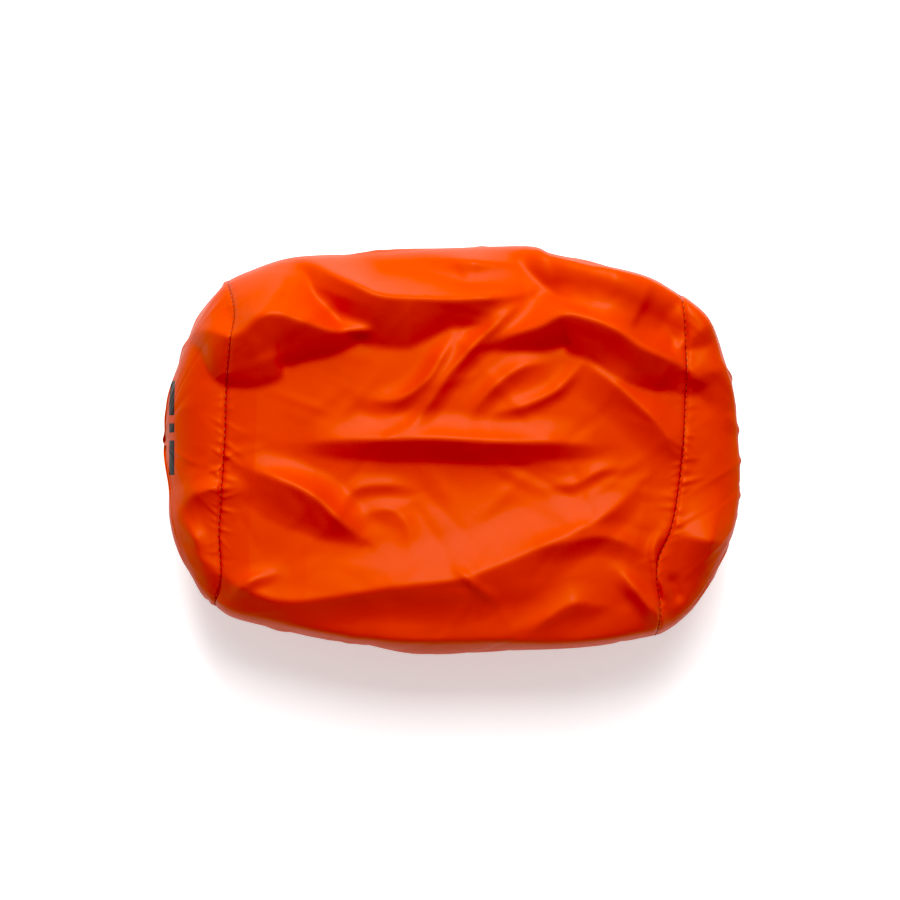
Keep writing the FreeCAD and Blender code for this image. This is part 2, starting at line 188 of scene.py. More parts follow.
# Broad swells under the folds: middle x and y, half lengths, height, turn in degrees
SWELLS = (
    (5, -16, 82, 24, -4.0, 3),
    (-88, 78, 34, 22, 5.0, -10),
    (88, 78, 30, 20, 4.0, -35),
    (10, -70, 100, 20, 3.0, 0),
)
FOLD_LIFT = 1.25          # height of the folds as worn, over their heights above
MAP_STEP = 0.7            # spacing of the fold map
MAP_SMOOTH = 1.1          # how far the fold map is smoothed

BODY_ROWS = 230           # rows of the tube
AROUND = 404              # points round every row
END_ROWS = 96             # rows of an end
LAST_STEP = 1.2           # from the last point of a row back to its first
TUBE_X = (-118.5, 117.5)  # the tube's ends on the underside
BODY_SEAM_X = (-112, 108)
BODY_SEAM_Y = -20.0
TURN_IN = 8.0             # seam allowance
GROOVE = 0.7              # how deep a seam pulls in
STITCH_PITCH = 3.4


# ---------------------------------------------------------------- curves and grids
def smooth_curve(points, n):
    """n points along the given ones: piecewise cubics whose slope at a point is half the step from
    its neighbour before to its neighbour after."""
    p = np.asarray(points, float)
    ends = np.vstack([2 * p[0] - p[1], p, 2 * p[-1] - p[-2]])
    at = np.linspace(0, len(p) - 1, n)
    i = np.minimum(at.astype(int), len(p) - 2)
    t = (at - i)[:, None]
    a, b, c, d = ends[i], ends[i + 1], ends[i + 2], ends[i + 3]
    return 0.5 * (2 * b + (c - a) * t + (2 * a - 5 * b + 4 * c - d) * t ** 2
                  + (3 * b - a - 3 * c + d) * t ** 3)


def along(points, at, n=400):
    """Second column of a curve as a function of its first column."""
    curve = smooth_curve(points, n)
    order = np.argsort(curve[:, 0])
    return np.interp(at, curve[order, 0], curve[order, 1])


def edge_share(points, share):
    """Second column of an edge at a share of the way along its first column."""
    first, last = points[0][0], points[-1][0]
    return along(points, first + share * (last - first))


def step_up(value, low, high):
    """0 below low, 1 above high, and an S-curve between."""
    t = np.clip((value - low) / (high - low), 0, 1)
    return t * t * (3 - 2 * t)


def stroke(x, y, points, heights, steep, gentle, sharpness):
    """Height of one fold at plan points: its height along the stroke times (1 - d/w) ** sharpness,
    where d is the distance from the stroke and w the width on that side of it."""
    n = 14 * (len(points) - 1) + 1
    path = smooth_curve(points, n)
    knots = np.linspace(0, n - 1, len(points))
    index = np.arange(n)
    steep = np.broadcast_to(np.asarray(steep, float), (len(points),))
    gentle = np.broadcast_to(np.asarray(gentle, float), (len(points),))
    height_at = np.interp(index, knots, heights)
    steep_at = np.interp(index, knots, steep)
    gentle_at = np.interp(index, knots, gentle)
    best = np.full(x.shape, 1e9)
    result = np.zeros(x.shape)
    for k in range(n - 1):
        a, b = path[k], path[k + 1]
        d = b - a
        t = np.clip(((x - a[0]) * d[0] + (y - a[1]) * d[1]) / (d @ d), 0, 1)
        off_x, off_y = x - a[0] - t * d[0], y - a[1] - t * d[1]
        far = np.hypot(off_x, off_y)
        right = d[0] * off_y - d[1] * off_x < 0
        width = np.where(right, steep_at[k] + t * (steep_at[k + 1] - steep_at[k]),
                         gentle_at[k] + t * (gentle_at[k + 1] - gentle_at[k]))
        high = height_at[k] + t * (height_at[k + 1] - height_at[k])
        side = np.where(right, sharpness, max(sharpness, 1.8))
        rise = high * np.clip(1 - far / width, 0, 1) ** side
        closer = far < best
        result = np.where(closer, rise, result)
        best = np.minimum(best, far)
    return result


def blur(field, sigma):
    """Gaussian smoothing of a map along both of its directions, sigma in cells."""
    reach = int(3 * sigma) + 1
    kernel = np.exp(-0.5 * (np.arange(-reach, reach + 1) / sigma) ** 2)
    kernel /= kernel.sum()
    for axis in (0, 1):
        padded = np.pad(field, [(reach, reach) if a == axis else (0, 0) for a in (0, 1)], "edge")
        size = field.shape[axis]
        field = sum(k * np.take(padded, range(i, i + size), axis) for i, k in enumerate(kernel))
    return field


def spline_weights(t):
    """Weights of four neighbours in a cubic B-spline, t of the way between the middle two."""
    return ((1 - t) ** 3 / 6, (3 * t ** 3 - 6 * t ** 2 + 4) / 6,
            (-3 * t ** 3 + 3 * t ** 2 + 3 * t + 1) / 6, t ** 3 / 6)


def sample(field, low, step, x, y):
    """A map read between its cells with cubic B-spline weights."""
    u, v = (x - low[0]) / step, (y - low[1]) / step
    i = np.clip(u.astype(int), 1, field.shape[0] - 3)
    j = np.clip(v.astype(int), 1, field.shape[1] - 3)
    fu, fv = np.clip(u - i, 0, 1), np.clip(v - j, 0, 1)
    total = 0
    for a, wa in enumerate(spline_weights(fu)):
        for b, wb in enumerate(spline_weights(fv)):
            total = total + wa * wb * field[i + a - 1, j + b - 1]
    return total


def ripples(u, v, rng, count, span, length, width, height, lean=(-1.2, 1.2)):
    """Sum of count long thin bumps strewn over span: each is height * exp(-(a/length)^2 - (b/width)^2),
    with a along the bump and b across it."""
    total = np.zeros(u.shape)
    for _ in range(count):
        mid_u, mid_v = rng.uniform(*span[0]), rng.uniform(*span[1])
        turn = rng.uniform(*lean)
        long_, wide = rng.uniform(*length), rng.uniform(*width)
        high = rng.uniform(*height)
        a = (u - mid_u) * math.cos(turn) + (v - mid_v) * math.sin(turn)
        b = (v - mid_v) * math.cos(turn) - (u - mid_u) * math.sin(turn)
        total += high * np.exp(-(a / long_) ** 2 - (b / wide) ** 2)
    return total


def puckers(arc, away, rng, total, pitch, height, reach):
    """Pulls along a seam: slanted short bumps about pitch apart that fade away from it."""
    result = np.zeros(arc.shape)
    at = 0.0
    while at < total:
        high, wide = height * rng.uniform(0.2, 1.0), rng.uniform(1.1, 2.2)
        slant, far = rng.uniform(-0.9, 0.9), reach * rng.uniform(0.4, 1.2)
        off = (arc - at - slant * away + total / 2) % total - total / 2
        result += high * np.exp(-(off / wide) ** 2 - (away / far) ** 2)
        at += pitch * rng.uniform(0.6, 1.5)
    return result


class FoldMap:
    """The folds seen from above as one smooth height map."""

    def __init__(self):
        self.low = np.array([-165.0, -120.0])
        x = np.arange(self.low[0], 166, MAP_STEP)
        y = np.arange(self.low[1], 121, MAP_STEP)
        gx, gy = np.meshgrid(x, y, indexing="ij")
        total = np.zeros(gx.shape)
        for points, heights, steep, gentle, sharpness in FOLDS:
            p = np.array(points, float)
            reach = max(np.max(steep), np.max(gentle)) + 4
            i0, j0 = ((p.min(0) - reach - self.low) / MAP_STEP).astype(int).clip(0)
            i1, j1 = ((p.max(0) + reach - self.low) / MAP_STEP).astype(int) + 1
            part = (slice(i0, i1), slice(j0, j1))
            total[part] += stroke(gx[part], gy[part], points, heights, steep, gentle, sharpness)
        for mid_x, mid_y, long_, wide, high, turn in SWELLS:
            c, s = math.cos(math.radians(turn)), math.sin(math.radians(turn))
            a = ((gx - mid_x) * c + (gy - mid_y) * s) / long_
            b = ((gy - mid_y) * c - (gx - mid_x) * s) / wide
            total += high * np.exp(-a ** 2 - b ** 2)
        rng = np.random.default_rng(SEED)
        total += ripples(gx, gy, rng, 150, ((-140, 140), (-95, 95)), (7, 22), (1.6, 4.0),
                         (-0.4, 0.5))
        self.field = blur(total, MAP_SMOOTH / MAP_STEP)

    def __call__(self, x, y):
        return sample(self.field, self.low, MAP_STEP, x, y)


def grid_normals(p):
    """Unit outward normals of a grid whose second direction closes on itself."""
    down = np.gradient(p, axis=0)
    wrapped = np.concatenate([p[:, -1:], p, p[:, :1]], 1)
    across = (wrapped[:, 2:] - wrapped[:, :-2]) / 2
    n = np.cross(across, down)
    towards_base = np.mean(p[-1, :, 0]) < np.mean(p[0, :, 0])
    n = -n if towards_base else n
    return n / np.maximum(np.linalg.norm(n, axis=2, keepdims=True), 1e-9)


def rounded(angle, half_y, up, down):
    """Rounded section by its direction from the middle: r = (|cos/a| ** n + |sin/b| ** n) ** (-1/n)."""
    c, s = np.cos(angle), np.sin(angle)
    n = np.where(s > 0, np.where(c < 0, BOXY_NEAR, BOXY_FAR), BOXY_LOW)
    r = (np.abs(c / half_y) ** n + np.abs(s / np.where(s > 0, up, down)) ** n) ** (-1 / n)
    return r * c, r * s


def around_angles():
    """Directions round a section, evenly spaced along it, closer together on the top."""
    fine = np.linspace(-math.pi / 2, 3 * math.pi / 2, 4001)
    y, z = rounded(fine, 98.0, 52.0, 50.0)
    pace = np.hypot(np.diff(y), np.diff(z)) * np.where(z[1:] > -20, 1.6, 0.7)
    length = np.concatenate([[0], np.cumsum(pace)])
    return np.interp(np.linspace(0, length[-1], AROUND + 1)[:-1], length, fine)


ANGLES = around_angles()


def section_loops(share):
    """Rounded sections at shares of the way from the base seam to the mouth seam, as (y, z) grids."""
    share = np.asarray(share, float)[:, None]
    far, near = edge_share(FAR_EDGE, share), edge_share(NEAR_EDGE, share)
    top = np.interp(share, *np.array(CROWN).T) - WAIST_Z
    low = WAIST_Z - np.interp(share, *np.array(UNDERSIDE).T)
    y, z = rounded(ANGLES[None], (far - near) / 2, top, low)
    return (far + near) / 2 + y, WAIST_Z + z


def body_base():
    """The tube between the seams before its folds."""
    share = np.linspace(0, 1, BODY_ROWS)
    y, z = section_loops(share)
    s = share[:, None]
    x = (1 - s) * along(BASE_SEAM, y) + s * along(MOUTH_SEAM, y)
    return np.stack([x, y, z], 2)


def end_outline(seam, edge, side, y, mid, half):
    """How much further or nearer the outline is than an even bulge at each y."""
    deep = BASE_DEPTH if side < 0 else MOUTH_DEPTH
    share = np.clip(np.abs(y - mid) / half, 0, 0.985)
    even = deep * np.sqrt(1 - share ** (1 / 0.62))
    wanted = side * (along(edge, y) - along(seam, y))
    return np.clip(wanted / np.maximum(even, 4.0), 0.55, 1.45)


def base_end():
    """The bulge past the base seam: loops that shrink as (1 - t^2) ** 0.62 while they go out by t."""
    y0, z0 = section_loops([0.0])
    mid, half = (y0.max() + y0.min()) / 2, (y0.max() - y0.min()) / 2
    t = np.sin(np.linspace(0, math.pi / 2, END_ROWS))[:, None]
    y = mid + (y0 - mid) * (1 - t ** 2) ** 0.62
    z = WAIST_Z - 1 + (z0 - WAIST_Z + 1) * (1 - t ** 2) ** 0.5
    out = BASE_DEPTH * t * end_outline(BASE_SEAM, BASE_EDGE, -1, y, mid, half)
    return np.stack([along(BASE_SEAM, y) - out, y, z], 2)


MOUTH_MID = (-5.0, 40.0)
# Loops of the mouth end from the lip inwards: half width, half height, x, rise of the middle
MOUTH_LOOPS = ((37, 25, 151, 5.0), (34, 24, 147, 3.0), (30, 22.5, 136, 0.5), (26, 20.5, 127, 0.0),
               (19, 18, 119.5, 0.0), (13, 13, 117.6, 0.0))
PLEATS = 34               # gathers round the cinched hem
MOUTH_BULGE = ((0.975, 11), (0.9, 23), (0.74, 32), (0.56, 37.5))     # share of the seam loop, x past it


def b_spline(loops, n):
    """Rows along a clamped cubic B-spline whose control points are whole loops."""
    pts = np.concatenate([[loops[0]] * 2, loops, [loops[-1]] * 2])
    at = np.linspace(0, len(pts) - 3 - 1e-6, n)
    i = at.astype(int)
    t = (at - i)[:, None, None]
    return sum(w * pts[i + k] for k, w in enumerate(spline_weights(t)))


def mouth_end():
    """The bulge past the mouth seam, over a lip and into the hollow of the gathered hem."""
    y0, z0 = (v[0] for v in section_loops([1.0]))
    mid = (y0.max() + y0.min()) / 2
    loops = [np.stack([along(MOUTH_SEAM, y0), y0, z0], 1)]
    for shrink, out in MOUTH_BULGE:
        y = mid + (y0 - mid) * shrink
        z = WAIST_Z + (z0 - WAIST_Z) * shrink ** 0.8
        loops.append(np.stack([along(MOUTH_SEAM, y) + out, y, z], 1))
    c, s = np.cos(ANGLES), np.sin(ANGLES)
    for half_y, half_z, x, rise in MOUTH_LOOPS:
        y = MOUTH_MID[0] + half_y * c
        z = MOUTH_MID[1] + rise + half_z * s
        loops.append(np.stack([np.full_like(y, x), y, z], 1))
    p = b_spline(np.array(loops), int(END_ROWS * 1.6))
    rows = np.linspace(0, 1, len(p))[:, None]
    # stretch the bulge so that its outline from above is the wanted one
    level = np.arange(-95, 80, 2.0)
    nearest = [p[..., 0][np.abs(p[..., 1] - v) < 2].max() for v in level]
    seam = along(MOUTH_SEAM, level)
    ratio = np.clip((along(MOUTH_EDGE, level) - seam) / np.maximum(np.array(nearest) - seam, 3), 0.6, 1.4)
    ratio = np.convolve(np.pad(ratio, 2, "edge"), np.ones(5) / 5, "valid")
    stretch = 1 + (np.interp(p[..., 1], level, ratio) - 1) * (1 - step_up(rows, 0.5, 0.8))
    seam_x = along(MOUTH_SEAM, p[..., 1])
    p[..., 0] = seam_x + (p[..., 0] - seam_x) * stretch
    return p


def spaced(p, axis):
    """Distance along a grid's rows (axis 0) or columns (axis 1) from its first."""
    step = np.linalg.norm(np.diff(p, axis=axis), axis=2)
    zero = np.zeros_like(np.take(step, [0], axis))
    return np.concatenate([zero, np.cumsum(step, axis)], axis)


def gathers(turn, rng):
    """Depth of the gathers at each direction round the mouth, 0 to 1: |sin| of an unevenly turned
    angle, so that no two gathers are alike."""
    wander = sum(rng.uniform(0.3, 0.9) / k * np.sin(k * turn + rng.uniform(0, 6.28)) for k in (1, 2, 3, 5))
    return np.abs(np.sin(PLEATS / 2 * turn + 2.2 * wander)) ** 1.5


def folded(p, folds, rng, from_seams, arc, total, pleats=False):
    """A base grid with its folds seen from above, its seams' grooves and pulls, and small ripples."""
    n = grid_normals(p)
    upward = step_up(n[..., 2], 0.02, 0.45)
    side = 1 - 0.75 * upward
    out = np.zeros(arc.shape)
    for away in from_seams:
        out += -GROOVE * (0.3 + 0.7 * upward) * np.exp(-(away / 1.4) ** 2)
        bunched = 0.35 + np.exp(-((p[..., 1] + 15) / 28) ** 2)
        out += puckers(arc, away, rng, total, 5.2, 0.8, 7.0) * step_up(away, 0.0, 1.6) * bunched
    away = np.minimum.reduce(from_seams)
    wrap = ripples(arc, from_seams[0], rng, 190, ((0, total), (0, from_seams[0].max())), (9, 26),
                   (2.0, 5.5), (-1.0, 1.3), (0.8, 3.0))
    out += side * wrap * step_up(away, 1.0, 9.0)
    lift = FOLD_LIFT * folds(p[..., 0], p[..., 1]) * np.maximum(upward, step_up(p[..., 2], 45, 88))
    if pleats:
        turn = np.arctan2(p[..., 2] - MOUTH_MID[1], p[..., 1] - MOUTH_MID[0])
        rows = np.linspace(0, 1, len(p))[:, None]
        out -= 1.5 * gathers(turn, rng) * step_up(rows, 0.62, 0.9) * (1 - 0.6 * step_up(rows, 0.93, 1.0))
    moved = p + n * out[..., None]
    moved[..., 2] += lift
    # what lies on the floor is pressed flat
    moved[..., 2] = np.where(moved[..., 2] < 1.5, 0.3 + 0.4 * np.maximum(moved[..., 2], 0), moved[..., 2])
    return moved


def inward_from(row):
    """Unit directions from a round seam's points to its middle, nearly square to the sack's length."""
    inward = row.mean(0) - row
    inward[:, 0] *= 0.05
    return inward / np.linalg.norm(inward, axis=1, keepdims=True)


def turned_in(p, first_row):
    """Adds a seam allowance: three more rows that turn into the sack from a grid's first or last row."""
    row = p[0] if first_row else p[-1]
    inward = inward_from(row)
    rows = [row + inward * depth for depth in (TURN_IN * 0.3, TURN_IN * 0.65, TURN_IN)]
    if first_row:
        return np.concatenate([np.array(rows[::-1]), p])
    return np.concatenate([p, np.array(rows)])


# ---------------------------------------------------------------- meshes and materials
def add_mesh(name, verts, faces, smooth=True):
    """An object at the origin, its mesh given in millimetres."""
    mesh = bpy.data.meshes.new(name)
    faces = faces.tolist() if hasattr(faces, "tolist") else faces
    mesh.from_pydata((np.asarray(verts) * MM).tolist(), [], faces)
    mesh.polygons.foreach_set("use_smooth", np.full(len(mesh.polygons), smooth))
    mesh.update()
    piece = bpy.data.objects.new(name, mesh)
    bpy.context.scene.collection.objects.link(piece)
    return piece


def grid_faces(rows, columns, closed=True, flip=False):
    """Quads of a grid; its columns close on themselves if closed."""
    i, j = np.meshgrid(np.arange(rows - 1), np.arange(columns if closed else columns - 1), indexing="ij")
    k = (j + 1) % columns
    quad = np.stack([i * columns + j, (i + 1) * columns + j, (i + 1) * columns + k, i * columns + k], -1)
    quad = quad.reshape(-1, 4)
    return quad[:, ::-1] if flip else quad


def linear(hex_colour):
    """sRGB hex to linear RGBA."""
    parts = [int(hex_colour[i:i + 2], 16) / 255 for i in (1, 3, 5)]
    return [c / 12.92 if c <= 0.04045 else ((c + 0.055) / 1.055) ** 2.4 for c in parts] + [1.0]


def to_hex(colour):
    """The hex of a linear colour property."""
    parts = [12.92 * c if c <= 0.0031308 else 1.055 * c ** (1 / 2.4) - 0.055 for c in colour[:3]]
    return "#" + "".join("%02x" % round(255 * min(max(p, 0), 1)) for p in parts)


def node(tree, kind, inputs=None, links=None, **settings):
    """Adds a node with its settings, input values and links: {input: (node, output)}."""
    made = tree.nodes.new(kind)
    for key, value in settings.items():
        setattr(made, key, value)
    for key, value in (inputs or {}).items():
        made.inputs[key].default_value = value
    for key, (source, output) in (links or {}).items():
        tree.links.new(source.outputs[output], made.inputs[key])
    return made


def new_material(name, **shader):
    """A material with one Principled shader set as given."""
    material = bpy.data.materials.new(name)
    material.use_nodes = True
    tree = material.node_tree
    tree.nodes.clear()
    base = node(tree, "ShaderNodeBsdfPrincipled", shader)
    output = node(tree, "ShaderNodeOutputMaterial", links={"Surface": (base, "BSDF")})
    return material, tree, base, output


def shade(hex_colour, times):
    """A colour made lighter or darker, as linear RGBA."""
    return [min(1, c * times) for c in linear(hex_colour)[:3]] + [1.0]


def two_toned(tree, base, pattern, tones, strength, distance):
    """Lets one pattern, a (node, output), both blend two tones and raise the surface."""
    tint = node(tree, "ShaderNodeMix", links={"Factor": pattern}, data_type="RGBA")
    tint.inputs[6].default_value, tint.inputs[7].default_value = tones
    bump = node(tree, "ShaderNodeBump", {"Strength": strength, "Distance": distance}, {"Height": pattern})
    tree.links.new(tint.outputs[2], base.inputs["Base Color"])
    tree.links.new(bump.outputs["Normal"], base.inputs["Normal"])


def coated_nylon(name, colour_hex, mark=False):
    """Coated nylon taffeta, dyed and calendered: a smooth satin face whose plain weave is finer than
    a render shows, so it is drawn at 0.5 mm, over small creases and a slightly uneven dye."""
    material, tree, base, _ = new_material(
        name, **{"Roughness": 0.5, "IOR": 1.5, "Specular IOR Level": 0.18})
    place = node(tree, "ShaderNodeTexCoord")
    mottle = node(tree, "ShaderNodeTexNoise", {"Scale": 42.0, "Detail": 3.0, "Roughness": 0.55},
                  {"Vector": (place, "Object")})
    dye = node(tree, "ShaderNodeMix", links={"Factor": (mottle, "Fac")}, data_type="RGBA")
    dye.inputs[6].default_value = linear(colour_hex)
    dye.inputs[7].default_value = shade(colour_hex, 0.86)
    colour = (dye, 2)
    warp = node(tree, "ShaderNodeTexWave", {"Scale": 2000 * math.pi / 10, "Distortion": 0.6},
                {"Vector": (place, "Object")}, bands_direction="X")
    weft = node(tree, "ShaderNodeTexWave", {"Scale": 2000 * math.pi / 10, "Distortion": 0.6},
                {"Vector": (place, "Object")}, bands_direction="Y")
    weave = node(tree, "ShaderNodeMath", links={0: (warp, "Fac"), 1: (weft, "Fac")}, operation="MULTIPLY")
    crease = node(tree, "ShaderNodeTexNoise", {"Scale": 160.0, "Detail": 4.0, "Roughness": 0.5},
                  {"Vector": (place, "Object")})
    small = node(tree, "ShaderNodeBump", {"Strength": 0.10, "Distance": 0.0008},
                 {"Height": (crease, "Fac")})
    fine = node(tree, "ShaderNodeBump", {"Strength": 0.05, "Distance": 0.0001},
                {"Height": (weave, "Value"), "Normal": (small, "Normal")})
    tree.links.new(fine.outputs["Normal"], base.inputs["Normal"])
    if mark:
        colour = printed_mark(tree, place, colour)
    tree.links.new(colour[0].outputs[colour[1]], base.inputs["Base Color"])
    return material


# A plain printed mark on the base end: bars of these middles along Y and half lengths, at one X
MARK_BARS = ((27.0, 9.0), (11.5, 2.4), (-4.0, 9.0))
MARK_X = -144.6
MARK_HALF = 1.7


def printed_mark(tree, place, colour):
    """Three plain bars of black ink, as distances along Y and X from the middle of each bar."""
    split = node(tree, "ShaderNodeSeparateXYZ", links={"Vector": (place, "Object")})
    high = node(tree, "ShaderNodeMath", {1: MARK_X * MM}, {0: (split, "X")}, operation="SUBTRACT")
    high = node(tree, "ShaderNodeMath", links={0: (high, 0)}, operation="ABSOLUTE")
    high = node(tree, "ShaderNodeMath", {1: MARK_HALF * MM}, {0: (high, 0)}, operation="LESS_THAN")
    upper = node(tree, "ShaderNodeMath", {1: WAIST_Z * MM}, {0: (split, "Z")}, operation="GREATER_THAN")
    total = None
    for middle, half in MARK_BARS:
        off = node(tree, "ShaderNodeMath", {1: middle * MM}, {0: (split, "Y")}, operation="SUBTRACT")
        off = node(tree, "ShaderNodeMath", links={0: (off, 0)}, operation="ABSOLUTE")
        bar = node(tree, "ShaderNodeMath", {1: half * MM}, {0: (off, 0)}, operation="LESS_THAN")
        if total:
            total = node(tree, "ShaderNodeMath", links={0: (total, 0), 1: (bar, 0)}, operation="ADD")
        else:
            total = bar
    ink = node(tree, "ShaderNodeMath", links={0: (total, 0), 1: (high, 0)}, operation="MULTIPLY")
    ink = node(tree, "ShaderNodeMath", links={0: (ink, 0), 1: (upper, 0)}, operation="MULTIPLY")
    mixed = node(tree, "ShaderNodeMix", links={"Factor": (ink, 0)}, data_type="RGBA")
    tree.links.new(colour[0].outputs[colour[1]], mixed.inputs[6])
    mixed.inputs[7].default_value = linear("#17100e")
    return mixed, 2


def thread_material(name, colour_hex):
    """Twisted polyester sewing thread: soft sheen, its twist drawn at 0.5 mm."""
    material, tree, base, _ = new_material(
        name, **{"Base Color": linear(colour_hex), "Roughness": 0.55, "IOR": 1.5,
                 "Sheen Weight": 0.3})
    place = node(tree, "ShaderNodeTexCoord")
    twist = node(tree, "ShaderNodeTexWave", {"Scale": 600.0, "Distortion": 0.5},
                 {"Vector": (place, "Object")}, bands_direction="DIAGONAL")
    bump = node(tree, "ShaderNodeBump", {"Strength": 0.4, "Distance": 0.0002}, {"Height": (twist, "Fac")})
    tree.links.new(bump.outputs["Normal"], base.inputs["Normal"])
    return material


def woven_tape(name, colour_hex):
    """Plain woven polyester tape, dull, its ribs at 0.8 mm."""
    material, tree, base, _ = new_material(
        name, **{"Roughness": 0.75, "IOR": 1.5, "Sheen Weight": 0.4})
    place = node(tree, "ShaderNodeTexCoord")
    ribs = node(tree, "ShaderNodeTexWave", {"Scale": 390.0, "Distortion": 0.4},
                {"Vector": (place, "Object")}, bands_direction="DIAGONAL")
    two_toned(tree, base, (ribs, "Fac"), (linear(colour_hex), shade(colour_hex, 1.8)), 0.5, 0.0002)
    return material


def moulded_acetal(name, colour_hex, roughness):
    """Moulded acetal: black, half matt, with a fine spark-eroded grain of 0.3 mm."""
    material, tree, base, _ = new_material(name, **{"Roughness": roughness, "IOR": 1.48})
    place = node(tree, "ShaderNodeTexCoord")
    grain = node(tree, "ShaderNodeTexNoise", {"Scale": 3300.0, "Detail": 2.0},
                 {"Vector": (place, "Object")})
    two_toned(tree, base, (grain, "Fac"), (linear(colour_hex), shade(colour_hex, 1.35)), 0.25, 0.0001)
    return material


def drawn_metal(name, colour_hex, roughness):
    """Pressed or drawn metal with fine scratches of about 0.2 mm."""
    material, tree, base, _ = new_material(
        name, **{"Base Color": linear(colour_hex), "Metallic": 1.0})
    place = node(tree, "ShaderNodeTexCoord")
    scratch = node(tree, "ShaderNodeTexNoise", {"Scale": 5000.0, "Detail": 1.0},
                   {"Vector": (place, "Object")})
    rough = node(tree, "ShaderNodeMapRange", {"To Min": roughness - 0.08, "To Max": roughness + 0.1},
                 {"Value": (scratch, "Fac")})
    tree.links.new(rough.outputs["Result"], base.inputs["Roughness"])
    return material


def finish_piece(piece, material, nodes):
    """Gives a piece of the sack its material, hangs it on the sack's body and hides the frame's nodes it
    stands for.
    """
    piece.data.materials.clear()
    piece.data.materials.append(material)
    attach(piece, "sack")
    if nodes:
        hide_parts(*nodes)
    return piece


# ---------------------------------------------------------------- the sack's panels
class Panels:
    """The three panels' grids, worked out once and shared by the operators."""

    grids = {}

    @classmethod
    def get(cls):
        if cls.grids:
            return cls.grids
        folds = FoldMap()
        rng = np.random.default_rng(SEED + 1)
        base = body_base()
        around = spaced(base, 1)
        seam_arc = around[BODY_ROWS // 2]
        total = float(seam_arc[-1] + LAST_STEP)
        arc = np.broadcast_to(seam_arc, around.shape)
        down = spaced(base, 0)
        body = folded(base, folds, rng, [down, down[-1] - down], arc, total)
        ends = {}
        for name, grid in (("base", base_end()), ("mouth", mouth_end())):
            away = spaced(grid, 0)
            span = np.broadcast_to(seam_arc, away.shape)
            ends[name] = folded(grid, folds, rng, [away], span, total, name == "mouth")
        ends["base"][0], ends["mouth"][0] = body[0], body[-1]
        cls.grids = {"body": body, **ends}
        return cls.grids


# ---------------------------------------------------------------- seams, hem, cord and label
def tube(path, radius, sides=10, closed=False):
    """Verts and faces of a tube along a path of points; its frame is carried along without turning."""
    path = np.asarray(path, float)
    n = len(path)
    if closed:
        tangent = np.roll(path, -1, 0) - np.roll(path, 1, 0)
    else:
        tangent = np.gradient(path, axis=0)
    tangent /= np.linalg.norm(tangent, axis=1, keepdims=True)
    normal = np.cross(tangent[0], (0.3, 0.2, 1.0))
    rings = []
    radius = np.broadcast_to(radius, (n,))
    angle = np.arange(sides) * 2 * math.pi / sides
    for k in range(n):
        normal = normal - tangent[k] * (normal @ tangent[k])
        normal /= np.linalg.norm(normal)
        side = np.cross(tangent[k], normal)
        rings.append(path[k] + radius[k] * (np.cos(angle)[:, None] * normal + np.sin(angle)[:, None] * side))
    verts = np.concatenate(rings)
    faces = grid_faces(n + (1 if closed else 0), sides, flip=True)
    if closed:
        faces = faces % (n * sides)
        return verts, faces.tolist()
    caps = [list(range(sides))[::-1], list(range((n - 1) * sides, n * sides))]
    return verts, faces.tolist() + caps


# One stitch: share of its length, height over the cloth in thicknesses, share of its thickness
STITCH = ((0.0, -0.5, 0.55), (0.12, 0.1, 0.9), (0.35, 0.35, 1.0), (0.65, 0.35, 1.0), (0.88, 0.1, 0.9),
          (1.0, -0.5, 0.55))


def stitches(line, outward, length, pitch, radius, closed=True):
    """Separate stitches along a line: short tubes that dip into the cloth at both ends."""
    line, outward = np.asarray(line, float), np.asarray(outward, float)
    if closed:
        line, outward = np.vstack([line, line[:1]]), np.vstack([outward, outward[:1]])
    far = np.concatenate([[0], np.cumsum(np.linalg.norm(np.diff(line, axis=0), axis=1))])
    count = int(far[-1] / pitch)
    share, lift, thickness = np.array(STITCH).T
    verts, faces, start = [], [], 0
    for k in range(count):
        at = far[-1] * (k + 0.5) / count + length * (share - 0.5)
        middle = np.stack([np.interp(at, far, line[:, c]) for c in range(3)], 1)
        away = np.stack([np.interp(at, far, outward[:, c]) for c in range(3)], 1)
        path = middle + away * (lift * radius * 2)[:, None]
        v, f = tube(path, radius * thickness, 6)
        verts.append(v)
        faces += [[i + start for i in face] for face in f]
        start += len(v)
    return np.concatenate(verts), faces


def underside(x):
    """Height of the sack's underside at an x between the seams."""
    return np.interp((x - TUBE_X[0]) / (TUBE_X[1] - TUBE_X[0]), *np.array(UNDERSIDE).T)


def tape_round(row, side_gap=0.5):
    """A folded tape over the inner edge of the allowances of a round seam, five points across."""
    inward = inward_from(row)
    across = ((TURN_IN - 3.6, -side_gap), (TURN_IN + 0.2, -side_gap), (TURN_IN + 0.8, 0.0),
              (TURN_IN + 0.2, side_gap), (TURN_IN - 3.6, side_gap))
    return np.array([row + inward * depth + np.array([x, 0, 0]) for depth, x in across])


# Section of the channel: x, distance from the mouth's middle
HEM_SECTION = ((117.4, 7.2), (119.5, 6.6), (122.5, 6.6), (124.4, 7.8), (124.9, 10.5), (124.7, 13.2),
               (123.2, 15.4), (120.2, 16.0), (118.2, 15.4), (117.2, 13.0), (117.1, 10.0), (117.4, 7.2))


